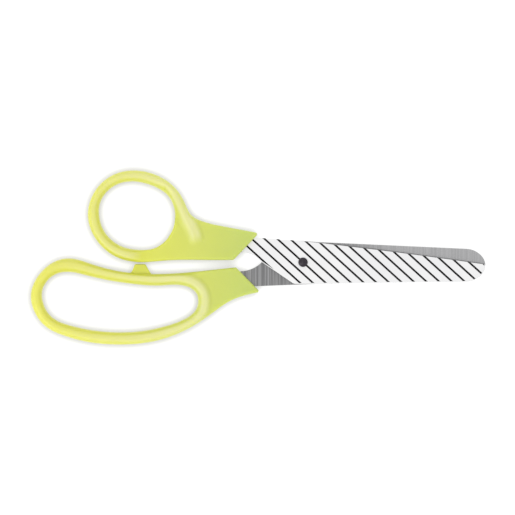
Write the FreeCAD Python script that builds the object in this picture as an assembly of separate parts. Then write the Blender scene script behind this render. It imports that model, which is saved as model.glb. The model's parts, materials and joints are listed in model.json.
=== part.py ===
import FreeCAD, Part
import math
import os
from FreeCAD import Vector

# Craft scissors with blunt straight blades, lying flat. Millimetres.
# +X runs to the tips, +Y to the thumb side, +Z up. The blades lie one on the other at the mid-plane,
# and each sits in a moulded handle: the upper blade in the thumb handle, the lower in the finger handle.
# Outlines are drawn from the middle of the object, and blade points are drawn from the pivot.

# Whole object
BOW_HEIGHT = 9.0            # the bows are the thickest part, and the object rests on them
MID_PLANE = BOW_HEIGHT / 2
PIVOT = Vector(20.1, -2.1, 0)
REST_OPENING = 1.9          # degrees that the lower blade is turned from the upper one's mirror image
LOWER_DROP = 0.4            # how much nearer to its back the lower blade is pierced

# Blades: one outline, used for both halves. It is drawn with its cutting edge on the +Y side.
STOCK = 1.5                 # sheet thickness
BLADE_GAP = 0.02            # from the mid-plane to each blade's inner face
HEEL = Vector(6.7, 9.0, 0)
EDGE_END = Vector(81.3, -0.65, 0)
EDGE_BULGE = 0.3            # how far the middle of the cutting edge stands out from a straight line
BEVEL_WIDTH = 0.35
BEVEL_DEPTH = 1.2
TIP_CURVE = [(81.5, -1.6), (80.7, -4.5), (78.5, -6.9), (75.8, -8.3), (72.6, -8.8)]
SPINE_CORNER = Vector(-4.0, -9.75, 0)
SHOULDER_ROUND = 3.0
NECK_CORNER = Vector(-18.2, -0.1, 0)
NECK_MIDDLE = Vector(-21.4, 2.6, 0)
NECK_END = Vector(-27.3, 4.5, 0)
BACK_ROUND = 0.45           # rounding of the outer face's edge, along the back and the tip
HOLLOW_DEPTH = 0.15         # the inner face is ground hollow, from past the pivot to the tip
HOLLOW_START = Vector(12.0, -0.8, 0)
HOLLOW_COURSE = Vector(1, -0.06, 0)
HOLLOW_HALF_WIDTH = 9.3

# Tang, which the handle is moulded round
NECK_WIDTH = 7.1            # where the tang leaves the blade
TANG_WIDTH = 5.7            # at the tang's end
TANG_LENGTH = 13.0
TANG_ANGLE = 165.0          # degrees from +X
TANG_HOLE_RADIUS = 1.3      # plastic fills this hole and locks the handle on
TANG_HOLE_INSET = 3.2

# Pivot rivet and the dished washer under its formed tail
PIN_RADIUS = 1.3
PIN_CLEARANCE = 0.05        # running clearance in the upper blade, which turns
HEAD_RADIUS = 2.1
HEAD_HEIGHT = 0.95
HEAD_RIM = 0.15             # height of the upright rim below the dome
HEAD_GAP = 0.03
TAIL_RADIUS = 2.2
TAIL_HEIGHT = 0.8
TAIL_ROUND = 0.5
WASHER_RADIUS = 3.2
WASHER_THICKNESS = 0.35
WASHER_DISH = 0.35          # how far the inner rim stands off the blade

# Handles
SHANK_HEIGHT = 6.4          # the flat part between bow and blade is thinner than the bow
BOW_ROUND = 2.2
NOSE_ROUND = 0.8
NOSE_OVERRUN = 0.05         # how far the nose's corner arcs start outside the long edges
FAR = 60.0                  # more than any handle measures, for cutting tools

# Thumb handle: a round bow. The outline starts and ends a little beyond the nose, which is cut later.
THUMB_OUTLINE = [(3.6, 10.2), (-8.5, 12.6), (-15.0, 13.8), (-22.1, 15.4), (-30.2, 19.5), (-32.9, 24.8),
                 (-38.2, 32.3), (-46.3, 37.2), (-54.3, 38.9), (-62.4, 37.9), (-70.4, 32.9), (-76.1, 19.2),
                 (-70.4, 5.5), (-62.4, -0.2), (-54.3, -2.0), (-40.9, -1.3), (-22.1, -1.1), (-3.0, -0.9)]
THUMB_HOLE = [(-71.1, 19.8), (-67.8, 29.1), (-62.4, 32.9), (-54.3, 33.9), (-46.3, 31.7), (-40.9, 28.3),
              (-37.1, 19.2), (-41.0, 7.9), (-46.3, 4.2), (-54.3, 3.5), (-62.4, 5.7), (-67.7, 10.2)]
THUMB_NOSE = [Vector(-0.2, 10.3, 0), Vector(-11.1, -1.3, 0)]
THUMB_RING_CENTRE = Vector(-53.8, 18.3, 0)
THUMB_RING_RADII = (22.5, 20.4)
THUMB_RING_TILT = -18.3

# Finger handle: a long bow for several fingers, with a stop tab on the edge that faces the thumb bow.
FINGER_OUTLINE = [(-1.0, -3.9), (-9.9, -4.4), (-22.1, -5.7), (-43.6, -7.3), (-65.1, -5.5), (-75.8, -2.4),
                  (-83.8, -0.4), (-89.2, -1.1), (-94.6, -4.2), (-101.6, -17.2), (-100.0, -24.1),
                  (-94.6, -31.1), (-86.5, -35.0), (-75.8, -37.8), (-62.4, -38.9), (-46.3, -37.4),
                  (-32.9, -32.7), (-22.1, -26.1), (-11.4, -18.9), (-3.4, -16.3), (3.0, -15.0)]
FINGER_HOLE = [(-96.5, -18.1), (-94.5, -10.8), (-89.2, -7.0), (-83.8, -6.5), (-75.8, -8.2), (-65.1, -10.5),
               (-54.3, -12.0), (-43.6, -12.55), (-32.8, -12.7), (-27.5, -16.2), (-26.8, -19.1),
               (-27.6, -22.9), (-32.9, -27.5), (-40.9, -30.5), (-51.6, -32.8), (-62.4, -33.4),
               (-73.1, -32.6), (-83.8, -30.4), (-91.9, -26.8)]
FINGER_NOSE = [Vector(-9.95, -4.3, 0), Vector(1.2, -15.6, 0)]
FINGER_RIDGE = [Vector(-36.0, -6.0, 0), Vector(-21.9, -18.4, 0), Vector(-36.0, -33.0, 0)]
TAB_HEIGHT = 3.0
TAB_ROUND = 0.6
TAB_OUTLINE = [(-57.7, -8.0), (-55.0, -2.95), (-50.4, -2.95), (-47.2, -8.0)]


def vectors(points):
    return [Vector(x, y, 0) for x, y in points]


def lift(shape, z):
    moved = shape.copy()
    moved.translate(Vector(0, 0, z))
    return moved


def open_curve(points):
    curve = Part.BSplineCurve()
    curve.interpolate(vectors(points))
    return curve


def closed_curve(points):
    curve = Part.BSplineCurve()
    curve.interpolate(vectors(points), PeriodicFlag=True)
    return curve


def bulged_edge(start, end, bulge):
    """A shallow arc from start to end, whose middle stands out to the left."""
    chord = end - start
    outward = Vector(-chord.y, chord.x, 0).normalize()
    middle = (start + end) * 0.5 + outward * bulge
    return Part.Arc(start, middle, end).toShape()


def corner_arc(before, corner, after, radius):
    """The arc that rounds a corner, with its two tangent points."""
    to_before = (before - corner).normalize()
    to_after = (after - corner).normalize()
    half = to_before.getAngle(to_after) / 2
    reach = radius / math.tan(half)
    start = corner + to_before * reach
    end = corner + to_after * reach
    inward = (to_before + to_after).normalize()
    middle = corner + inward * (radius / math.sin(half) - radius)
    return Part.Arc(start, middle, end).toShape(), start, end


def level_edges(shape, z, inside=None):
    """The edges that lie flat at height z, and pass the test on their middle point."""
    found = []
    for edge in shape.Edges:
        box = edge.BoundBox
        if abs(box.ZMin - z) > 0.001 or abs(box.ZMax - z) > 0.001:
            continue
        middle = edge.valueAt((edge.FirstParameter + edge.LastParameter) / 2)
        if inside is None or inside(middle):
            found.append(edge)
    return found


# Blades

def blank_outline():
    """The stamped outline: cutting edge, round tip, back, shoulder, neck and tang."""
    tip = vectors(TIP_CURVE)
    along, across = tang_directions()
    low_end = NECK_END + along * TANG_LENGTH
    high_end = low_end + across * TANG_WIDTH
    end_middle = (low_end + high_end) * 0.5 + along * (TANG_WIDTH / 2)
    high_root = NECK_END + across * NECK_WIDTH
    tip_edge = Part.BSplineCurve()
    tip_edge.interpolate(tip)
    shoulder, spine_end, slope_start = corner_arc(tip[-1], SPINE_CORNER, NECK_CORNER, SHOULDER_ROUND)
    edges = [
        bulged_edge(HEEL, EDGE_END, EDGE_BULGE),
        Part.LineSegment(EDGE_END, tip[0]).toShape(),
        tip_edge.toShape(),
        Part.LineSegment(tip[-1], spine_end).toShape(),
        shoulder,
        Part.LineSegment(slope_start, NECK_CORNER).toShape(),
        Part.Arc(NECK_CORNER, NECK_MIDDLE, NECK_END).toShape(),
        Part.LineSegment(NECK_END, low_end).toShape(),
        Part.Arc(low_end, end_middle, high_end).toShape(),
        Part.LineSegment(high_end, high_root).toShape(),
        Part.LineSegment(high_root, HEEL).toShape(),
    ]
    return Part.Wire(edges)


def bevel_tool():
    """The wedge that is ground off the outer face, turned about the centre of the cutting edge's arc.

    It overruns the heel and the tip, so that the bevel fades out there."""
    edge = bulged_edge(HEEL, EDGE_END, EDGE_BULGE)
    centre = edge.Curve.Center
    radius = edge.Curve.Radius
    overrun = 0.2           # degrees
    clear = 1.0
    start = HEEL - centre
    profile = [
        Vector(radius, 0, STOCK - BEVEL_DEPTH),
        Vector(radius + clear, 0, STOCK - BEVEL_DEPTH),
        Vector(radius + clear, 0, STOCK + clear),
        Vector(radius - BEVEL_WIDTH * (1 + clear / BEVEL_DEPTH), 0, STOCK + clear),
    ]
    section = Part.Face(Part.makePolygon(profile + profile[:1]))
    start_angle = math.degrees(math.atan2(start.y, start.x)) + overrun
    swept_angle = math.degrees((EDGE_END - HEEL).Length / radius) + 2 * overrun
    section.rotate(Vector(0, 0, 0), Vector(0, 0, 1), start_angle)
    section.translate(centre)
    return section.revolve(centre, Vector(0, 0, -1), swept_angle)


def hollow_tool():
    """A wide cylinder lying along the blade, which grinds the inner face hollow."""
    radius = (HOLLOW_HALF_WIDTH ** 2 + HOLLOW_DEPTH ** 2) / (2 * HOLLOW_DEPTH)
    base = HOLLOW_START + Vector(0, 0, HOLLOW_DEPTH - radius)
    return Part.makeCylinder(radius, FAR * 2, base, HOLLOW_COURSE)


def tang_directions():
    along = Vector(math.cos(math.radians(TANG_ANGLE)), math.sin(math.radians(TANG_ANGLE)), 0)
    across = Vector(along.y, -along.x, 0)
    return along, across


def blade_blank(pivot_hole_radius, edge_shift):
    """One blade in the pivot's frame, with its inner face at z = 0 and its outer face up.

    Its outline is moved by edge_shift towards the cutting edge before the pivot's hole is made."""
    body = Part.Face(blank_outline()).extrude(Vector(0, 0, STOCK))

    def on_back(point):
        return point.y < EDGE_END.y

    body = body.makeFillet(BACK_ROUND, level_edges(body, STOCK, on_back))
    body = body.cut(bevel_tool())
    body = body.cut(hollow_tool())
    along, across = tang_directions()
    anchor = NECK_END + along * (TANG_LENGTH - TANG_HOLE_INSET) + across * (TANG_WIDTH / 2)
    body = body.cut(Part.makeCylinder(TANG_HOLE_RADIUS, STOCK, anchor))
    body.translate(Vector(0, edge_shift, 0))
    return body.cut(Part.makeCylinder(pivot_hole_radius, STOCK))


def turn_over(shape):
    """The blank as the other half: outer face down, cutting edge towards -Y, turned to the rest pose."""
    flipped = shape.copy()
    flipped.rotate(Vector(0, 0, 0), Vector(1, 0, 0), 180)
    flipped.rotate(Vector(0, 0, 0), Vector(0, 0, 1), -REST_OPENING)
    return flipped


def front_blade():
    blade = blade_blank(PIN_RADIUS + PIN_CLEARANCE, 0)
    return placed_at_pivot(lift(blade, BLADE_GAP))


def rear_blade():
    blade = blade_blank(PIN_RADIUS, LOWER_DROP)
    return placed_at_pivot(turn_over(lift(blade, BLADE_GAP)))


# Pivot, drawn about its own axis with the mid-plane at z = 0

def pivot_rivet():
    """Domed head, plain pin, and a tail spread over the washer."""
    head_base = BLADE_GAP + STOCK + HEAD_GAP
    washer_top = -(BLADE_GAP + STOCK)
    tail_top = washer_top - WASHER_THICKNESS - WASHER_DISH
    tail_base = tail_top - TAIL_HEIGHT
    rise = HEAD_HEIGHT - HEAD_RIM
    dome_radius = (HEAD_RADIUS ** 2 + rise ** 2) / (2 * rise)
    dome = Part.makeSphere(dome_radius, Vector(0, 0, head_base + HEAD_HEIGHT - dome_radius))
    head = Part.makeCylinder(HEAD_RADIUS, HEAD_HEIGHT, Vector(0, 0, head_base)).common(dome)
    pin = Part.makeCylinder(PIN_RADIUS, head_base - tail_base, Vector(0, 0, tail_base))
    tail = Part.makeCylinder(TAIL_RADIUS, TAIL_HEIGHT, Vector(0, 0, tail_base))
    tail = tail.makeFillet(TAIL_ROUND, level_edges(tail, tail_base))
    return placed_at_pivot(head.fuse([pin, tail]).removeSplitter())


def tension_washer():
    """A dished ring: its rim bears on the lower blade and its middle on the rivet's tail."""
    bore = PIN_RADIUS + PIN_CLEARANCE
    rim_top = -(BLADE_GAP + STOCK)
    inner_top = rim_top - WASHER_DISH
    profile = [
        Vector(WASHER_RADIUS, 0, rim_top),
        Vector(WASHER_RADIUS, 0, rim_top - WASHER_THICKNESS),
        Vector(bore, 0, inner_top - WASHER_THICKNESS),
        Vector(bore, 0, inner_top),
    ]
    section = Part.Face(Part.makePolygon(profile + profile[:1]))
    washer = section.revolve(Vector(0, 0, 0), Vector(0, 0, 1), 360)
    return placed_at_pivot(washer)


def placed_at_pivot(shape):
    return lift(shape.translated(PIVOT), MID_PLANE)


# Handles

def bow_plate(outline, hole):
    """The handle's outline at the bow's full thickness, with both long edges and the hole rounded."""
    outer = open_curve(outline)
    end_line = Part.LineSegment(outer.EndPoint, outer.StartPoint).toShape()
    rim = Part.Wire([outer.toShape(), end_line])
    hole_wire = Part.Wire([closed_curve(hole).toShape()])
    face = Part.Face(rim).cut(Part.Face(hole_wire)).Faces[0]
    plate = face.extrude(Vector(0, 0, BOW_HEIGHT))

    def off_the_end(point):
        return point.x < min(outer.StartPoint.x, outer.EndPoint.x)

    edges = level_edges(plate, 0, off_the_end) + level_edges(plate, BOW_HEIGHT, off_the_end)
    return plate.makeFillet(BOW_ROUND, edges)


def thin_shank(plate, shank_area):
    """Takes the shank down to its own thickness, above and below."""
    step = (BOW_HEIGHT - SHANK_HEIGHT) / 2
    below = shank_area.extrude(Vector(0, 0, step))
    above = lift(below, BOW_HEIGHT - step)
    return plate.cut([below, above])


def crossing(point, direction, other_point, other_direction):
    """Where two lines in the plane cross."""
    gap = other_point - point
    turn = direction.x * other_direction.y - direction.y * other_direction.x
    reach = (gap.x * other_direction.y - gap.y * other_direction.x) / turn
    return point + direction * reach


def cut_nose(plate, outline, nose):
    """Cuts the end of the handle along a slanting line that meets both long edges in a round corner."""
    top, under_top = vectors(outline[:2])
    above_bottom, bottom = vectors(outline[-2:])
    outside = Vector(0, NOSE_OVERRUN, 0)
    slant = nose[1] - nose[0]
    high = crossing(top + outside, under_top - top, nose[0], slant)
    low = crossing(bottom - outside, above_bottom - bottom, nose[0], slant)
    high_arc, high_start, high_end = corner_arc(high + under_top - top, high, low, NOSE_ROUND)
    low_arc, low_start, low_end = corner_arc(high, low, low + above_bottom - bottom, NOSE_ROUND)
    beyond = [low_end, Vector(low_end.x, -FAR, 0), Vector(FAR, -FAR, 0), Vector(FAR, FAR, 0),
              Vector(high_start.x, FAR, 0), high_start]
    nose_edge = Part.LineSegment(high_end, low_start).toShape()
    rim = Part.Wire([high_arc, nose_edge, low_arc] + Part.makePolygon(beyond).Edges)
    return plate.cut(Part.Face(rim).extrude(Vector(0, 0, BOW_HEIGHT)))


def tilted_ellipse(centre, radii, tilt):
    ellipse = Part.Ellipse(Vector(0, 0, 0), radii[0], radii[1]).toShape()
    ellipse.rotate(Vector(0, 0, 0), Vector(0, 0, 1), tilt)
    ellipse.translate(centre)
    return Part.Face(Part.Wire([ellipse]))


def thumb_handle():
    plate = bow_plate(THUMB_OUTLINE, THUMB_HOLE)
    ring = tilted_ellipse(THUMB_RING_CENTRE, THUMB_RING_RADII, THUMB_RING_TILT)
    beside_ring = Part.makePlane(FAR, FAR * 2, Vector(THUMB_RING_CENTRE.x, -FAR, 0)).cut(ring)
    handle = cut_nose(thin_shank(plate, beside_ring), THUMB_OUTLINE, THUMB_NOSE)
    return handle.cut(front_blade())


def finger_handle():
    plate = bow_plate(FINGER_OUTLINE, FINGER_HOLE)
    top, side, bottom = FINGER_RIDGE
    ridge = Part.Arc(top, side, bottom).toShape()
    far_top = Vector(FAR, FAR, 0)
    far_bottom = Vector(FAR, -FAR, 0)
    beyond = [bottom, Vector(bottom.x, -FAR, 0), far_bottom, far_top, Vector(top.x, FAR, 0), top]
    beside_bow = Part.Face(Part.Wire([ridge] + Part.makePolygon(beyond).Edges))
    handle = cut_nose(thin_shank(plate, beside_bow), FINGER_OUTLINE, FINGER_NOSE)
    return handle.fuse(stop_tab()).cut(rear_blade())


def is_upright(edge):
    return edge.BoundBox.XLength < 0.001 and edge.BoundBox.YLength < 0.001


def stop_tab():
    """The small tab that meets the thumb bow when the scissors close."""
    outline = vectors(TAB_OUTLINE)
    tab = Part.Face(Part.makePolygon(outline + outline[:1])).extrude(Vector(0, 0, TAB_HEIGHT))
    halfway_up = (outline[0].y + outline[1].y) / 2
    corners = [edge for edge in tab.Edges if is_upright(edge) and edge.CenterOfMass.y > halfway_up]
    tab = tab.makeFillet(TAB_ROUND, corners)
    return lift(tab, MID_PLANE - TAB_HEIGHT / 2)


def build():
    return {
        "front_blade": front_blade(),
        "rear_blade": rear_blade(),
        "thumb_handle": thumb_handle(),
        "finger_handle": finger_handle(),
        "pivot_rivet": pivot_rivet(),
        "tension_washer": tension_washer(),
    }


def centring(shapes):
    """The move that puts the middle of the whole object's box over the origin."""
    box = FreeCAD.BoundBox()
    for shape in shapes:
        box.add(shape.optimalBoundingBox(False, False))
    return Vector(-box.Center.x, -box.Center.y, -box.ZMin), box


def main():
    os.makedirs("parts", exist_ok=True)
    nodes = build()
    shift, box = centring(nodes.values())
    for name, shape in nodes.items():
        shape.translate(shift)
        shape.exportStep("parts/" + name + ".step")
        print(name, "solids", len(shape.Solids), "valid", shape.isValid(), "volume", round(shape.Volume, 1))
    pivot = PIVOT + shift
    print("pivot", round(pivot.x, 4), round(pivot.y, 4))
    print("size", round(box.XLength, 3), round(box.YLength, 3), round(box.ZLength, 3))


main()
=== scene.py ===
import json
import math

import bmesh
import bpy
import numpy as np
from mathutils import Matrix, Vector
from mathutils.kdtree import KDTree


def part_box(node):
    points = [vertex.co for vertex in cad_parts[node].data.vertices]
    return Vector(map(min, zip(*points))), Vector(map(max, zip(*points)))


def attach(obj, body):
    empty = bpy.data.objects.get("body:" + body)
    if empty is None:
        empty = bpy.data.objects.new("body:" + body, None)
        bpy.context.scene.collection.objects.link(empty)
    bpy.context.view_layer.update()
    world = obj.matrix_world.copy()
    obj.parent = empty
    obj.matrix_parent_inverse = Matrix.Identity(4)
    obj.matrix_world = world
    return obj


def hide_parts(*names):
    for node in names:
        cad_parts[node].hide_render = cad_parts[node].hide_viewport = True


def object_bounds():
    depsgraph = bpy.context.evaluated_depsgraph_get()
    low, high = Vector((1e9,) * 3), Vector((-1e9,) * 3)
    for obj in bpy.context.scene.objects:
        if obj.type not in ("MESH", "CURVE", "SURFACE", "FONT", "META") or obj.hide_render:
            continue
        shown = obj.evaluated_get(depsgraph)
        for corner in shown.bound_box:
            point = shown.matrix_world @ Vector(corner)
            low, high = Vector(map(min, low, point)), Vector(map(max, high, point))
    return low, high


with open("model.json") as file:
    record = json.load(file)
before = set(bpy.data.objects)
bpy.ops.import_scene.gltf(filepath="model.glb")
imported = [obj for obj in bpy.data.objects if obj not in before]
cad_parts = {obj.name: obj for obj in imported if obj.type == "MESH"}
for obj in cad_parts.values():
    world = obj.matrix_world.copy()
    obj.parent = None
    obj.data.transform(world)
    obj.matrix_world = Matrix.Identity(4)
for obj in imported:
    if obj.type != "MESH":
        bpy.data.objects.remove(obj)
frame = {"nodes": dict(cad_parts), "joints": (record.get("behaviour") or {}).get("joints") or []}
cad_low, cad_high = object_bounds()

# Craft scissors lying flat. Metres; MM turns the named sizes into them.
MM = 0.001

# Places that come from the frame
PIVOT = Vector(frame["joints"][0]["pos_m"])
MID_PLANE = PIVOT.z
BOW_TOP = cad_high.z
HEAD_LOW, HEAD_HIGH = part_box("pivot_rivet")
WASHER_LOW, WASHER_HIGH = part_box("tension_washer")

# Handles: half heights, measured from the mid-plane
BOW_HALF = BOW_TOP - MID_PLANE
SHANK_HALF = 3.2 * MM
TAB_HALF = 1.5 * MM
SECTION_Z = MID_PLANE + 1.9 * MM      # above the blades and the stop tab, below the rounded edges
TAB_SECTION_Z = MID_PLANE + 0.9 * MM
# How far the edges' rounding reaches in from the outline, and the upright wall below it
BOW_EDGE = 2.1 * MM
BOW_WALL = 0.9 * MM
SHANK_EDGE = 1.1 * MM
SHANK_WALL = 2.0 * MM
TAB_EDGE = 0.5 * MM
ROUNDNESS = 2.2                       # 2 is a true ellipse, more is squarer
# The bead along the bow
BEAD_HALF = 2.85 * MM                 # from the hole's edge to the crest
BEAD_HALF_WIDE = 4.1 * MM             # the same on the thumb bow, towards the blades
BEAD_TOP = 0.7 * MM                   # from the crest to where the bead starts to fall
BEAD_FOOT = 4.6 * MM                  # from the crest to where it ends, on the side of the hole
BEAD_OUTER_FOOT = 3.5 * MM            # the same on the outer side
BEAD_END = 6.0 * MM                   # from the crest to where the edges are as sharp as the shank's
PARTING_HALF = 0.12 * MM              # of the mould's parting line, round the mid-plane
LOOP_STEP = 0.15 * MM
CELL = 0.34 * MM
# The thumb bow's crest leaves the hole on the side of the blades and runs down the shank as a ridge
# that fades. The ridge's places are in mm.
THUMB_RIDGE = [(-34.6, 22.8), (-31.5, 17.6), (-28.7, 12.6), (-26.2, 5.8)]
THUMB_RIDGE_SECTOR = (-74.0, 32.0)    # degrees round the hole's middle where there is no crest
THUMB_WIDENS = (-48 * MM, -38 * MM)   # where along X the crest moves away from the hole
THUMB_FADES = (9.0 * MM, 5.5 * MM)    # lengths of the fades at the crest's two ends
FADE_PAST_END = 0.25                  # how far the second fade runs past the end, in its own lengths
KNOT_EVERY = 20                       # every so many points of the bow's crest are a knot of its curve

# Outlines and meshes
WELD_GAP = 0.0005 * MM                # points closer than this are one point
STRAIGHT_WITHIN = 0.001 * MM          # a point this close to a straight line is left out of an outline
MARGIN_CELLS = 3                      # cells of the grid outside the handle, on each side
SETTLE_ROUNDS = 2
SETTLE_NUDGE = 0.02 * MM              # the step that a slope is measured over
SETTLE_LIMIT = 0.5                    # a point moves at most this share of a cell in one round
NO_LENGTH = 1e-12                     # keeps a division from being by zero

# Blade mesh
COAT, INK, STEEL = range(3)           # the material slots
COATED_FACING = 0.35                  # how far at least a coated face looks to the printed side
PRINTED_FACING = 0.99                 # the same for a face that may be printed, where 1 is fully
SHARP_ANGLE = math.radians(28)        # an edge with a greater angle stays sharp

# Rivet and washer, about the pivot
TURNS = 96                            # points round a turned piece
ON_AXIS = 1e-7                        # a smaller radius is a single point on the axis
PIN_RADIUS = 1.3 * MM
HEAD_RADIUS = 2.1 * MM
HEAD_HEIGHT = 0.95 * MM
HEAD_RIM = 0.15 * MM
TAIL_HEIGHT = 0.8 * MM
TAIL_DIMPLE = 0.15 * MM
DIMPLE_REACH = 0.4                    # of the tail's radius
TAIL_CORNER = 0.3                     # of the tail's radius
HEAD_STEPS = 16
TAIL_STEPS = 14
WASHER_HOLE = 1.4 * MM
WASHER_THICKNESS = 0.35 * MM
WASHER_STEPS = 8

# Print on the blades' outer faces
STRIPE_ANGLE = math.radians(-42.3)
STRIPE_SPACING = 3.843 * MM
STRIPE_WIDTH = 0.86 * MM
REST_OPENING = math.radians(1.9)      # the lower blade's turn from the upper one's mirror image

# View and floor
FRAME_WIDTH = 230.2 * MM
VIEW_CENTRE = Vector((-0.25 * MM, 0.0))
CAMERA_HEIGHT = 0.6
FLOOR_HALF = 1.5
# The floor's glow dims near the object: a painted shadow.
FLOOR_GLOW_REACH = 4 * MM             # the floor glows less within this distance of the object

# Light. Each lamp has its place, its diameter in metres and its power in watts.
WORLD_STRENGTH = 1.1
KEY_LAMP = ((-0.38, -0.33, 0.65), 0.6, 1.2)
LOW_LAMP = ((-0.62, -0.5, 0.3), 0.6, 0.8)

# Places along X where the plastic's tones and painted highlight, and the steel's painted shade, start
# and end
PLASTIC_TONES = (-95 * MM, -5 * MM)
STEEL_SHADE_SPAN = (22 * MM, 60 * MM)

# Fineness of the materials' patterns, in spots per metre
PLASTIC_CLOUDS = 60
PLASTIC_GLOSS = 400
PLASTIC_GRAIN = 2200
COAT_CLOUDS = 90
COAT_GLOSS = 700
COAT_GRAIN = 1800
INK_SPECKS = 3000
STEEL_STREAKS = (2700, 30, 100)       # fine along X and long along Y
RIVET_CLOUDS = 900
RIVET_GRAIN = 2600
WASHER_CLOUDS = 1500
WASHER_GLOSS = 3000
FLOOR_CLOUDS = 8

# Heights of the materials' raised patterns
PLASTIC_GRAIN_HEIGHT = 0.006 * MM
PARTING_HEIGHT = 0.05 * MM
COAT_GRAIN_HEIGHT = 0.002 * MM
STEEL_STREAK_HEIGHT = 0.003 * MM
RIVET_GRAIN_HEIGHT = 0.004 * MM


# Camera, floor and light

def add_camera():
    """Looks straight down. The picture is FRAME_WIDTH wide."""
    data = bpy.data.cameras.new("camera")
    data.type = "ORTHO"
    data.ortho_scale = FRAME_WIDTH
    camera = bpy.data.objects.new("camera", data)
    camera.location = (VIEW_CENTRE.x, VIEW_CENTRE.y, CAMERA_HEIGHT)
    bpy.context.scene.collection.objects.link(camera)
    bpy.context.scene.camera = camera


def add_lamp(name, place, size, power):
    """A round lamp without shadows that faces the origin."""
    data = bpy.data.lights.new(name, "AREA")
    data.shape = "DISK"
    data.size = size
    data.energy = power
    data.use_shadow = False
    light = bpy.data.objects.new(name, data)
    light.location = place
    light.rotation_euler = (-Vector(place)).to_track_quat("-Z", "Y").to_euler()
    bpy.context.scene.collection.objects.link(light)


def add_world():
    """Even white light from all round."""
    world = bpy.data.worlds.new("studio")
    world.use_nodes = True
    background = world.node_tree.nodes["Background"]
    background.inputs["Color"].default_value = (1.0, 1.0, 1.0, 1.0)
    background.inputs["Strength"].default_value = WORLD_STRENGTH
    bpy.context.scene.world = world


def add_floor(material):
    """A square at height 0."""
    corners = [(x * FLOOR_HALF, y * FLOOR_HALF, 0) for x, y in ((-1, -1), (1, -1), (1, 1), (-1, 1))]
    floor = mesh_object("floor", corners, [(0, 1, 2, 3)])
    floor.data.materials.append(material)


# Meshes

def mesh_object(name, points, faces):
    """A new object in the scene."""
    mesh = bpy.data.meshes.new(name)
    mesh.from_pydata([tuple(p) for p in points], [], [tuple(f) for f in faces])
    mesh.update()
    piece = bpy.data.objects.new(name, mesh)
    bpy.context.scene.collection.objects.link(piece)
    return piece


def put_in_place(piece, node, body):
    """Says which body carries the piece and which node it replaces."""
    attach(piece, body)
    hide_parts(node)


# Outlines, read from level sections of the handles' solids

def welded(node):
    """The node's mesh with the seams between its faces closed."""
    bm = bmesh.new()
    bm.from_mesh(frame["nodes"][node].data)
    bmesh.ops.remove_doubles(bm, verts=bm.verts, dist=WELD_GAP)
    return bm


def chained(edges):
    """The edges joined into closed loops of points."""
    neighbours = {}
    for edge in edges:
        a, b = edge.verts
        neighbours.setdefault(a, []).append(b)
        neighbours.setdefault(b, []).append(a)
    loops = []
    while neighbours:
        start = next(iter(neighbours))
        loop = [start]
        previous, current = None, start
        while True:
            onward = [v for v in neighbours.pop(current) if v is not previous]
            previous, current = current, onward[0]
            if current is start:
                break
            loop.append(current)
        loops.append(np.array([v.co.xy[:] for v in loop]))
    return loops


def signed_area(loop):
    """Above 0 for an anticlockwise loop."""
    x, y = loop[:, 0], loop[:, 1]
    return 0.5 * float(np.sum(x * np.roll(y, -1) - np.roll(x, -1) * y))


def without_points_in_line(loop):
    """Drops the points that lie on the line between their neighbours."""
    before = np.roll(loop, 1, axis=0)
    after = np.roll(loop, -1, axis=0)
    chord = after - before
    offset = loop - before
    height = np.abs(chord[:, 0] * offset[:, 1] - chord[:, 1] * offset[:, 0])
    height /= np.linalg.norm(chord, axis=1)
    return loop[height > STRAIGHT_WITHIN]


def smooth_loop(loop):
    """A smooth closed curve through the points, as points LOOP_STEP apart."""
    tangent = np.roll(loop, -1, axis=0) - np.roll(loop, 1, axis=0)
    tangent /= np.linalg.norm(tangent, axis=1)[:, None]
    return curve_through(loop, tangent, len(loop))


def curve_through(knots, tangent, spans):
    """Points about LOOP_STEP apart on cubic curves from each knot to the next."""
    points = []
    for i in range(spans):
        j = (i + 1) % len(knots)
        length = float(np.linalg.norm(knots[j] - knots[i]))
        count = max(1, round(length / LOOP_STEP))
        t = (np.arange(count) / count)[:, None]
        leaving = (t**3 - 2 * t**2 + t) * tangent[i] * length
        arriving = (t**3 - t**2) * tangent[j] * length
        start_part = (2 * t**3 - 3 * t**2 + 1) * knots[i] + leaving
        end_part = (3 * t**2 - 2 * t**3) * knots[j] + arriving
        points.append(start_part + end_part)
    return np.vstack(points)


def smooth_line(points):
    """A smooth open curve through the points, as points about LOOP_STEP apart."""
    tangent = np.gradient(points, axis=0)
    tangent /= np.linalg.norm(tangent, axis=1)[:, None]
    return curve_through(points, tangent, len(points) - 1)


def section(node, z):
    """The solid's outline and its largest hole at height z, both anticlockwise."""
    bm = welded(node)
    geometry = bm.verts[:] + bm.edges[:] + bm.faces[:]
    cut = bmesh.ops.bisect_plane(bm, geom=geometry, plane_co=(0, 0, z), plane_no=(0, 0, 1))
    edges = [g for g in cut["geom_cut"] if isinstance(g, bmesh.types.BMEdge)]
    loops = sorted(chained(edges), key=lambda loop: -abs(signed_area(loop)))
    bm.free()
    found = []
    for loop in loops[:2]:
        if signed_area(loop) < 0:
            loop = loop[::-1]
        found.append(smooth_loop(without_points_in_line(loop)))
    return found


# Distances in the plane

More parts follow.
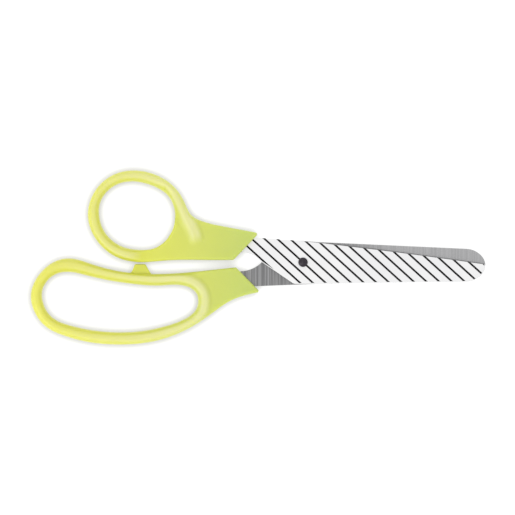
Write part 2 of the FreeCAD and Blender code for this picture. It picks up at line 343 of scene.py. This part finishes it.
class Path:
    """A line of points in the plane that answers how far other points are from it."""

    def __init__(self, points, closed):
        self.points = points
        self.closed = closed
        self.tree = KDTree(len(points))
        for i, point in enumerate(points):
            self.tree.insert((point[0], point[1], 0.0), i)
        self.tree.balance()

    def nearest(self, places):
        """Distance to the line, positive on its left, and the nearest point's index."""
        index = np.array([self.tree.find((x, y, 0.0))[1] for x, y in places])
        best = np.full(len(places), np.inf)
        side = np.zeros(len(places))
        last = len(self.points) - 1
        for offset in (-1, 0):
            a = index + offset
            b = a + 1
            if self.closed:
                a = a % len(self.points)
                b = b % len(self.points)
            else:
                a = np.clip(a, 0, last - 1)
                b = a + 1
            start = self.points[a]
            along = self.points[b] - start
            away = places - start
            share = np.clip(np.sum(away * along, axis=1) / np.sum(along * along, axis=1), 0.0, 1.0)
            gap = away - share[:, None] * along
            distance = np.linalg.norm(gap, axis=1)
            closer = distance < best
            best = np.where(closer, distance, best)
            turn = along[:, 0] * gap[:, 1] - along[:, 1] * gap[:, 0]
            side = np.where(closer, np.sign(turn), side)
        return best * side, index


def smooth_step(low, high, value):
    """0 up to low, 1 from high on, and smooth between them."""
    t = np.clip((value - low) / (high - low), 0.0, 1.0)
    return t * t * (3 - 2 * t)


def blended(low, high, share):
    """low where share is 0, high where it is 1."""
    return low + (high - low) * share


# Handles

class Handle:
    """A plate with soft edges, and a bead of full height along the bow's crest."""

    def __init__(self, node, find_crest, fades=None):
        """fades are the lengths over which the crest's ends fade, where it has ends."""
        outline, hole = section(node, SECTION_Z)
        self.outline = Path(outline, True)
        self.hole = Path(hole, True)
        self.crest = Path(find_crest(hole), fades is None)
        self.bead_half = np.abs(self.hole.nearest(self.crest.points)[0])
        self.fades = fades
        self.tab = None

    def plan(self, places):
        """What the form needs to know about places in the plane, whatever their height."""
        inside, _ = self.outline.nearest(places)
        in_hole, _ = self.hole.nearest(places)
        from_crest, index = self.crest.nearest(places)
        foot = np.where(from_crest > 0, BEAD_OUTER_FOOT, BEAD_FOOT)
        from_crest = np.abs(from_crest)
        strength = self.crest_strength(index)
        bead = strength * (1.0 - smooth_step(BEAD_TOP, foot, from_crest))
        soft = strength * (1.0 - smooth_step(foot, BEAD_END, from_crest))
        hole_edge = np.minimum(self.bead_half[index], BEAD_HALF_WIDE)
        plan = {
            "across": np.maximum(
                1.0 - inside / blended(SHANK_EDGE, BOW_EDGE, soft),
                1.0 + in_hole / blended(SHANK_EDGE, hole_edge, soft)),
            "top": blended(SHANK_HALF, BOW_HALF, bead),
            "wall": blended(SHANK_WALL, BOW_WALL, soft),
        }
        if self.tab:
            in_tab, _ = self.tab.nearest(places)
            plan["tab_inset"] = np.minimum(in_tab, -in_hole)
        return plan

    def crest_strength(self, index):
        """1 along the bow, falling away at both ends of a crest that doesn't close."""
        if self.crest.closed:
            return np.ones(len(index))
        from_start = index * LOOP_STEP / self.fades[0]
        from_end = (len(self.crest.points) - 1 - index) * LOOP_STEP / self.fades[1]
        return smooth_step(0.0, 1.0, from_start) * smooth_step(-FADE_PAST_END, 1.0, from_end)


def form(plan, height):
    """Below 0 inside the handle, and 0 on its surface."""
    across = np.maximum(plan["across"], 0.0)
    upward = np.maximum((np.abs(height) - plan["wall"]) / (plan["top"] - plan["wall"]), 0.0)
    body = (across**ROUNDNESS + upward**ROUNDNESS) ** (1.0 / ROUNDNESS) - 1.0
    if "tab_inset" not in plan:
        return body
    across = np.maximum((TAB_EDGE - plan["tab_inset"]) / TAB_EDGE, 0.0)
    upward = np.maximum((np.abs(height) - (TAB_HALF - TAB_EDGE)) / TAB_EDGE, 0.0)
    return np.minimum(body, np.hypot(across, upward) - 1.0)


def outward(loop):
    """Unit vectors pointing out of an anticlockwise loop."""
    along = np.roll(loop, -1, axis=0) - np.roll(loop, 1, axis=0)
    along /= np.linalg.norm(along, axis=1)[:, None]
    return np.column_stack([along[:, 1], -along[:, 0]])


def evenly_spaced(points, step):
    """Points a step apart along the line through the given ones."""
    gaps = np.linalg.norm(np.diff(points, axis=0), axis=1)
    reach = np.concatenate([[0.0], np.cumsum(gaps)])
    places = np.arange(0.0, reach[-1], step)
    return np.column_stack([np.interp(places, reach, points[:, k]) for k in (0, 1)])


def finger_crest(hole):
    """Closed, and clockwise round the hole."""
    return (hole + outward(hole) * BEAD_HALF)[::-1]


def thumb_crest(hole):
    """Clockwise round the hole from below it to the side of the blades, then down the shank.

    The crest is further from the hole towards the blades.
    """
    middle = hole.mean(axis=0)
    around = np.degrees(np.arctan2(hole[:, 1] - middle[1], hole[:, 0] - middle[0]))
    low, high = THUMB_RIDGE_SECTOR
    start = int(np.argmin(np.abs(around - low)))
    wide = smooth_step(*THUMB_WIDENS, hole[:, 0])
    ring = hole + outward(hole) * blended(BEAD_HALF, BEAD_HALF_WIDE, wide)[:, None]
    ring = np.roll(ring, -start, axis=0)[::-1]
    around = np.roll(around, -start)[::-1]
    ring = ring[(around < low) | (around > high)]
    points = np.vstack([ring[::KNOT_EVERY], np.array(THUMB_RIDGE) * MM])
    return evenly_spaced(smooth_line(points), LOOP_STEP)


def net_points(values, origin):
    """One point in each cell that the surface crosses, and each cell's point number or -1.

    The point is the mean of the places where the surface crosses the cell's edges.
    """
    count = np.zeros([n - 1 for n in values.shape], int)
    total = np.zeros(count.shape + (3,))
    for axis in range(3):
        near = [slice(None)] * 3
        far = [slice(None)] * 3
        near[axis] = slice(0, -1)
        far[axis] = slice(1, None)
        a, b = values[tuple(near)], values[tuple(far)]
        crossed = (a < 0) != (b < 0)
        share = np.where(crossed, a / np.where(crossed, a - b, 1.0), 0.0)
        steps = [np.arange(n) for n in a.shape]
        place = np.stack(np.meshgrid(*steps, indexing="ij"), axis=-1).astype(float)
        place[..., axis] += share
        u, v = [k for k in range(3) if k != axis]
        for du in (0, 1):
            for dv in (0, 1):
                pick = [slice(None)] * 3
                pick[u] = slice(du, values.shape[u] - 1 + du)
                pick[v] = slice(dv, values.shape[v] - 1 + dv)
                hit = crossed[tuple(pick)]
                count += hit
                total += np.where(hit[..., None], place[tuple(pick)], 0.0)
    used = count > 0
    number = np.full(count.shape, -1)
    number[used] = np.arange(int(used.sum()))
    return origin + CELL * total[used] / count[used][:, None], number


def net_faces(inside, number):
    """A four-sided face round each of the grid's edges that the surface crosses."""
    faces = []
    for axis, (u, v) in enumerate([(1, 2), (2, 0), (0, 1)]):
        near = [slice(1, -1)] * 3
        far = [slice(1, -1)] * 3
        near[axis] = slice(0, -1)
        far[axis] = slice(1, None)
        a, b = inside[tuple(near)], inside[tuple(far)]
        i, j, k = np.nonzero(a != b)
        entering = b[i, j, k]
        place = np.stack([i, j, k], axis=1)
        ring = []
        for du, dv in ((0, 0), (1, 0), (1, 1), (0, 1)):
            cell = place.copy()
            cell[:, u] += du
            cell[:, v] += dv
            ring.append(number[cell[:, 0], cell[:, 1], cell[:, 2]])
        quads = np.stack(ring, axis=1)
        quads[entering] = quads[entering][:, ::-1]
        faces.append(quads)
    return np.vstack(faces)


def settled(handle, points):
    """The points moved onto the handle's exact form."""
    for _ in range(SETTLE_ROUNDS):
        height = points[:, 2] - MID_PLANE
        plan = handle.plan(points[:, :2])
        here = form(plan, height)
        slope = np.stack([
            form(handle.plan(points[:, :2] + (SETTLE_NUDGE, 0.0)), height) - here,
            form(handle.plan(points[:, :2] + (0.0, SETTLE_NUDGE)), height) - here,
            form(plan, height + SETTLE_NUDGE) - here,
        ], axis=1) / SETTLE_NUDGE
        steep = np.maximum(np.sum(slope * slope, axis=1), NO_LENGTH)
        move = -(here / steep)[:, None] * slope
        length = np.maximum(np.linalg.norm(move, axis=1), NO_LENGTH)
        points = points + move * np.minimum(1.0, SETTLE_LIMIT * CELL / length)[:, None]
    return points


def handle_piece(name, handle, node, body, material):
    """The handle's form, meshed on a grid and kept within its node's box."""
    low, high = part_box(node)
    margin = MARGIN_CELLS * CELL
    axes = [np.arange(low[k] - margin, high[k] + margin, CELL) for k in range(3)]
    x, y = np.meshgrid(axes[0], axes[1], indexing="ij")
    plan = handle.plan(np.column_stack([x.ravel(), y.ravel()]))
    values = np.stack([form(plan, z - MID_PLANE).reshape(x.shape) for z in axes[2]], axis=-1)
    points, number = net_points(values, np.array([axis[0] for axis in axes]))
    faces = net_faces(values < 0, number)
    points = np.clip(settled(handle, points), low[:], high[:])
    piece = mesh_object(name, points, faces)
    piece.data.shade_smooth()
    piece.data.materials.append(material)
    put_in_place(piece, node, body)


# Blades: the CAD's own blanks, with the print cut into the outer face

def blade_piece(name, node, body, outer, stripe_angle, materials):
    """outer is 1 if the printed face looks up at rest, and -1 if it looks down."""
    bm = welded(node)
    across = Vector((-math.sin(stripe_angle), math.cos(stripe_angle), 0.0))
    reach = max(abs((v.co - PIVOT).dot(across)) for v in bm.verts)
    count = int(reach / STRIPE_SPACING) + 1
    for line in range(-count, count + 1):
        for side in (-0.5, 0.5):
            place = PIVOT + across * (line * STRIPE_SPACING + side * STRIPE_WIDTH)
            geometry = bm.verts[:] + bm.edges[:] + bm.faces[:]
            bmesh.ops.bisect_plane(bm, geom=geometry, plane_co=place, plane_no=across)
    bmesh.ops.recalc_face_normals(bm, faces=bm.faces)
    for face in bm.faces:
        face.smooth = True
        facing = face.normal.z * outer
        face.material_index = COAT if facing > COATED_FACING else STEEL
        if facing > PRINTED_FACING:
            offset = (face.calc_center_median() - PIVOT).dot(across) / STRIPE_SPACING
            if abs(offset - round(offset)) * STRIPE_SPACING < 0.5 * STRIPE_WIDTH:
                face.material_index = INK
    for edge in bm.edges:
        edge.smooth = edge.calc_face_angle(0.0) < SHARP_ANGLE
    mesh = bpy.data.meshes.new(name)
    bm.to_mesh(mesh)
    bm.free()
    for material in materials:
        mesh.materials.append(material)
    piece = bpy.data.objects.new(name, mesh)
    bpy.context.scene.collection.objects.link(piece)
    put_in_place(piece, node, body)


# Rivet and washer: round pieces, turned about the pivot

def arc(centre, radii, start, end, steps):
    """Points (radius, height) on part of an ellipse. Angles in degrees."""
    points = []
    for i in range(steps + 1):
        turn = math.radians(start + (end - start) * i / steps)
        radius = centre[0] + radii[0] * math.cos(turn)
        height = centre[1] + radii[1] * math.sin(turn)
        points.append((radius, height))
    return points


def turned_piece(name, profile, node, body, material):
    """A profile of (radius, height) turned about the pivot. A radius of 0 is a single point."""
    points = []
    rings = []
    for radius, height in profile:
        if radius < ON_AXIS:
            rings.append([len(points)] * TURNS)
            points.append((PIVOT.x, PIVOT.y, height))
            continue
        rings.append(list(range(len(points), len(points) + TURNS)))
        for i in range(TURNS):
            turn = 2 * math.pi * i / TURNS
            x = PIVOT.x + radius * math.cos(turn)
            y = PIVOT.y + radius * math.sin(turn)
            points.append((x, y, height))
    faces = []
    pairs = list(zip(rings, rings[1:]))
    if profile[0][0] > ON_AXIS:
        pairs.append((rings[-1], rings[0]))
    for low, high in pairs:
        for i in range(TURNS):
            j = (i + 1) % TURNS
            corners = [low[i], low[j], high[j], high[i]]
            faces.append([c for k, c in enumerate(corners) if c not in corners[:k]])
    piece = mesh_object(name, points, faces)
    bm = bmesh.new()
    bm.from_mesh(piece.data)
    bmesh.ops.recalc_face_normals(bm, faces=bm.faces)
    for face in bm.faces:
        face.smooth = True
    for edge in bm.edges:
        edge.smooth = edge.calc_face_angle(0.0) < SHARP_ANGLE
    bm.to_mesh(piece.data)
    bm.free()
    piece.data.materials.append(material)
    put_in_place(piece, node, body)


def rivet_profile():
    """From the dimple in the tail's underside, up the pin, to the top of the head."""
    tail_radius = 0.5 * (HEAD_HIGH.x - HEAD_LOW.x)
    tail_top = HEAD_LOW.z + TAIL_HEIGHT
    head_base = HEAD_HIGH.z - HEAD_HEIGHT
    rim = head_base + HEAD_RIM
    corner = TAIL_CORNER * tail_radius
    corner_middle = (tail_radius - corner, HEAD_LOW.z + 0.5 * TAIL_HEIGHT)
    profile = [(0.0, HEAD_LOW.z + TAIL_DIMPLE)]
    profile += [(DIMPLE_REACH * tail_radius, HEAD_LOW.z + 0.5 * TAIL_DIMPLE)]
    profile += arc(corner_middle, (corner, 0.5 * TAIL_HEIGHT), -90, 90, TAIL_STEPS)
    profile += [(PIN_RADIUS, tail_top), (PIN_RADIUS, head_base), (HEAD_RADIUS, head_base)]
    profile += arc((0.0, rim), (HEAD_RADIUS, HEAD_HIGH.z - rim), 0, 90, HEAD_STEPS)[:-1]
    return profile + [(0.0, HEAD_HIGH.z)]


def washer_profile():
    """A sloping strip with round edges, lowest at the hole."""
    outer = 0.5 * (WASHER_HIGH.x - WASHER_LOW.x)
    half = 0.5 * WASHER_THICKNESS
    inner_middle = (WASHER_HOLE + half, WASHER_LOW.z + half)
    outer_middle = (outer - half, WASHER_HIGH.z - half)
    profile = arc(inner_middle, (half, half), 90, 270, WASHER_STEPS)
    return profile + arc(outer_middle, (half, half), -90, 90, WASHER_STEPS)


# Materials

class Surface:
    """A Principled material with a few ways to add nodes."""

    def __init__(self, name, colour, roughness, metallic):
        self.material = bpy.data.materials.new(name)
        self.material.use_nodes = True
        self.material.diffuse_color = (*colour, 1.0)
        self.tree = self.material.node_tree
        self.shader = self.tree.nodes["Principled BSDF"]
        self.set("Base Color", (*colour, 1.0))
        self.set("Roughness", roughness)
        self.set("Metallic", metallic)
        self.places = self.tree.nodes.new("ShaderNodeTexCoord").outputs["Object"]

    def set(self, socket, value):
        """A value that is the same all over the surface."""
        self.shader.inputs[socket].default_value = value

    def node(self, kind, **values):
        """A new node of this kind with these settings."""
        made = self.tree.nodes.new(kind)
        for key, value in values.items():
            setattr(made, key, value)
        return made

    def link(self, source, target):
        self.tree.links.new(source, target)

    def stretched(self, scale):
        """The piece's own places in metres, multiplied by scale along each axis."""
        mapping = self.node("ShaderNodeMapping")
        mapping.inputs["Scale"].default_value = scale
        self.link(self.places, mapping.inputs["Vector"])
        return mapping.outputs["Vector"]

    def noise(self, fineness, detail):
        """fineness is in spots per metre, one number or one for each axis."""
        if isinstance(fineness, int):
            fineness = (fineness, fineness, fineness)
        made = self.node("ShaderNodeTexNoise")
        made.inputs["Scale"].default_value = 1.0
        made.inputs["Detail"].default_value = detail
        made.inputs["Roughness"].default_value = 0.5
        self.link(self.stretched(fineness), made.inputs["Vector"])
        return made.outputs["Fac"]

    def ramp(self, source, stops):
        """stops are (position, value or colour)."""
        made = self.node("ShaderNodeValToRGB")
        elements = made.color_ramp.elements
        while len(elements) < len(stops):
            elements.new(0.5)
        for element, (position, tone) in zip(elements, stops):
            element.position = position
            if isinstance(tone, float):
                tone = (tone, tone, tone)
            element.color = (*tone, 1.0)
        self.link(source, made.inputs["Fac"])
        return made.outputs["Color"]

    def between(self, axis, low, high):
        """0 where the place's coordinate is low, 1 where it is high."""
        parts = self.node("ShaderNodeSeparateXYZ")
        self.link(self.places, parts.inputs["Vector"])
        made = self.node("ShaderNodeMapRange")
        made.inputs["From Min"].default_value = low
        made.inputs["From Max"].default_value = high
        self.link(parts.outputs[axis], made.inputs["Value"])
        return made.outputs["Result"]

    def mixed(self, factor, first, second, blend="MIX"):
        """first where the factor is 0. The factor is a number or comes from a node."""
        made = self.node("ShaderNodeMix", data_type="RGBA", blend_type=blend)
        if isinstance(factor, float):
            made.inputs["Factor"].default_value = factor
        else:
            self.link(factor, made.inputs["Factor"])
        self.link(first, made.inputs["A"])
        self.link(second, made.inputs["B"])
        return made.outputs["Result"]

    def openness(self, distance):
        """White in the open, darker where other surfaces stand within the distance."""
        made = self.node("ShaderNodeAmbientOcclusion")
        made.inputs["Distance"].default_value = distance
        return made.outputs["Color"]

    def multiplied(self, first, second):
        """The two colours' product."""
        return self.mixed(1.0, first, second, "MULTIPLY")

    def colour_from(self, source):
        self.link(source, self.shader.inputs["Base Color"])

    def roughness_from(self, source):
        self.link(source, self.shader.inputs["Roughness"])

    def bump(self, source, depth, under=None):
        """Raises the surface by depth where source is 1, on top of another bump if there is one."""
        made = self.node("ShaderNodeBump")
        made.inputs["Strength"].default_value = 1.0
        made.inputs["Distance"].default_value = depth
        self.link(source, made.inputs["Height"])
        if under:
            self.link(under, made.inputs["Normal"])
        self.link(made.outputs["Normal"], self.shader.inputs["Normal"])
        return made.outputs["Normal"]


def from_screen(red, green, blue):
    """A colour as seen on a screen, 0 to 255, made linear."""
    linear = []
    for value in (red, green, blue):
        share = value / 255
        linear.append(share / 12.92 if share <= 0.04045 else ((share + 0.055) / 1.055) ** 2.4)
    return tuple(linear)


def handle_plastic():
    """Lime plastic, yellower towards the bows' ends, and paler on their crests, where the paler colour
    is a painted highlight.
    """
    made = Surface("handle_plastic", from_screen(203, 209, 98), 0.34, 0.0)
    made.set("Specular IOR Level", 0.6)
    made.set("Subsurface Weight", 0.6)
    made.set("Subsurface Radius", (0.9, 0.9, 0.3))
    made.set("Subsurface Scale", 3 * MM)
    along = made.between("X", *PLASTIC_TONES)
    tone = made.ramp(along, [
        (0.0, from_screen(207, 206, 64)),
        (0.45, from_screen(205, 207, 74)),
        (0.75, from_screen(199, 205, 91)),
        (1.0, from_screen(185, 198, 97)),
    ])
    # Painted highlight: a paler colour that stands in for the highlight on the bows' crests.
    painted_highlight = made.ramp(along, [
        (0.0, from_screen(216, 213, 112)),
        (0.35, from_screen(214, 211, 158)),
        (0.6, from_screen(222, 217, 180)),
        (1.0, from_screen(220, 218, 176)),
    ])
    # Mask of the painted highlight: the top and the bottom of the bows' height.
    height = made.between("Z", MID_PLANE - BOW_HALF, MID_PLANE + BOW_HALF)
    crest = made.ramp(height, [(0.0, 0.5), (0.12, 0.0), (0.88, 0.0), (1.0, 0.5)])
    clouds = made.ramp(made.noise(PLASTIC_CLOUDS, 3.0), [(0.3, 0.965), (0.7, 1.0)])
    made.colour_from(made.multiplied(made.mixed(crest, tone, painted_highlight), clouds))
    made.roughness_from(made.ramp(made.noise(PLASTIC_GLOSS, 2.0), [(0.3, 0.30), (0.7, 0.38)]))
    grain = made.bump(made.noise(PLASTIC_GRAIN, 2.0), PLASTIC_GRAIN_HEIGHT)
    parting = made.between("Z", MID_PLANE - PARTING_HALF, MID_PLANE + PARTING_HALF)
    parting_line = made.ramp(parting, [(0.0, 0.0), (0.5, 1.0), (1.0, 0.0)])
    made.bump(parting_line, PARTING_HEIGHT, grain)
    return made.material


def white_coating():
    """Smooth white coating on the blades' outer faces."""
    made = Surface("white_coating", from_screen(244, 244, 244), 0.32, 0.0)
    made.colour_from(made.ramp(made.noise(COAT_CLOUDS, 3.0), [
        (0.3, from_screen(215, 215, 216)),
        (0.7, from_screen(221, 221, 221)),
    ]))
    made.roughness_from(made.ramp(made.noise(COAT_GLOSS, 2.0), [(0.3, 0.28), (0.7, 0.36)]))
    made.bump(made.noise(COAT_GRAIN, 3.0), COAT_GRAIN_HEIGHT)
    return made.material


def black_ink():
    """Dull ink of the printed lines."""
    made = Surface("black_ink", from_screen(22, 22, 23), 0.55, 0.0)
    made.set("Specular IOR Level", 0.12)
    made.colour_from(made.ramp(made.noise(INK_SPECKS, 3.0), [
        (0.3, from_screen(8, 8, 9)),
        (0.75, from_screen(18, 18, 19)),
    ]))
    return made.material


def ground_steel():
    """Ground across the blade: streaks that run along Y. They are stronger next to the handle. The
    colour is also painted darker next to the handle and lighter towards the tip: painted shade.
    """
    made = Surface("ground_steel", (0.38, 0.38, 0.39), 0.38, 1.0)
    along = made.between("X", *STEEL_SHADE_SPAN)
    # Painted shade: darkest next to the handle, lighter towards the tip.
    tone = made.ramp(along, [
        (0.0, from_screen(143, 143, 144)),
        (0.3, from_screen(148, 148, 149)),
        (1.0, from_screen(167, 167, 168)),
    ])
    streaks = made.noise(STEEL_STREAKS, 1.0)
    # Next to the handle the streaks are stronger and also darker overall, which adds to the painted
    # shade there.
    near = made.ramp(streaks, [(0.36, 0.58), (0.62, 1.06)])
    far = made.ramp(streaks, [(0.36, 0.86), (0.62, 1.0)])
    made.colour_from(made.multiplied(tone, made.mixed(along, near, far)))
    made.roughness_from(made.ramp(streaks, [(0.3, 0.34), (0.7, 0.46)]))
    made.bump(streaks, STEEL_STREAK_HEIGHT)
    return made.material


def dark_rivet():
    """Blackened steel."""
    made = Surface("dark_rivet", from_screen(62, 58, 64), 0.36, 0.85)
    made.colour_from(made.ramp(made.noise(RIVET_CLOUDS, 3.0), [
        (0.3, from_screen(46, 43, 48)),
        (0.7, from_screen(64, 60, 66)),
    ]))
    made.bump(made.noise(RIVET_GRAIN, 2.0), RIVET_GRAIN_HEIGHT)
    return made.material


def washer_steel():
    """Bright spring steel."""
    made = Surface("washer_steel", (0.5, 0.5, 0.5), 0.35, 1.0)
    made.colour_from(made.ramp(made.noise(WASHER_CLOUDS, 3.0), [
        (0.3, from_screen(170, 170, 172)),
        (0.7, from_screen(196, 196, 198)),
    ]))
    made.roughness_from(made.ramp(made.noise(WASHER_GLOSS, 2.0), [(0.3, 0.28), (0.7, 0.42)]))
    return made.material


def pale_floor():
    """White paper that glows a little, less so close to whatever stands on it, which is a painted
    shadow round the object.
    """
    made = Surface("pale_floor", (0.2, 0.2, 0.2), 0.9, 0.0)
    made.colour_from(made.ramp(made.noise(FLOOR_CLOUDS, 2.0), [(0.3, 0.195), (0.7, 0.205)]))
    made.set("Specular IOR Level", 0.1)
    # Painted shadow: the glow is dimmed where other surfaces stand close.
    made.link(made.openness(FLOOR_GLOW_REACH), made.shader.inputs["Emission Color"])
    made.set("Emission Strength", 1.0)
    return made.material


# The scene

bpy.context.scene.view_settings.view_transform = "Standard"
add_camera()
add_world()
add_lamp("key", *KEY_LAMP)
add_lamp("low", *LOW_LAMP)
add_floor(pale_floor())

plastic = handle_plastic()
thumb = Handle("thumb_handle", thumb_crest, THUMB_FADES)
handle_piece("thumb_grip", thumb, "thumb_handle", "thumb_half", plastic)
finger = Handle("finger_handle", finger_crest)
finger.tab = Path(section("finger_handle", TAB_SECTION_Z)[0], True)
handle_piece("finger_grip", finger, "finger_handle", "finger_half", plastic)

finishes = [white_coating(), black_ink(), ground_steel()]
blade_piece("upper_blade", "front_blade", "thumb_half", 1, STRIPE_ANGLE, finishes)
lower_angle = -STRIPE_ANGLE - REST_OPENING
blade_piece("lower_blade", "rear_blade", "finger_half", -1, lower_angle, finishes)

turned_piece("rivet", rivet_profile(), "pivot_rivet", "finger_half", dark_rivet())
washer = washer_profile()
turned_piece("spring_washer", washer, "tension_washer", "finger_half", washer_steel())
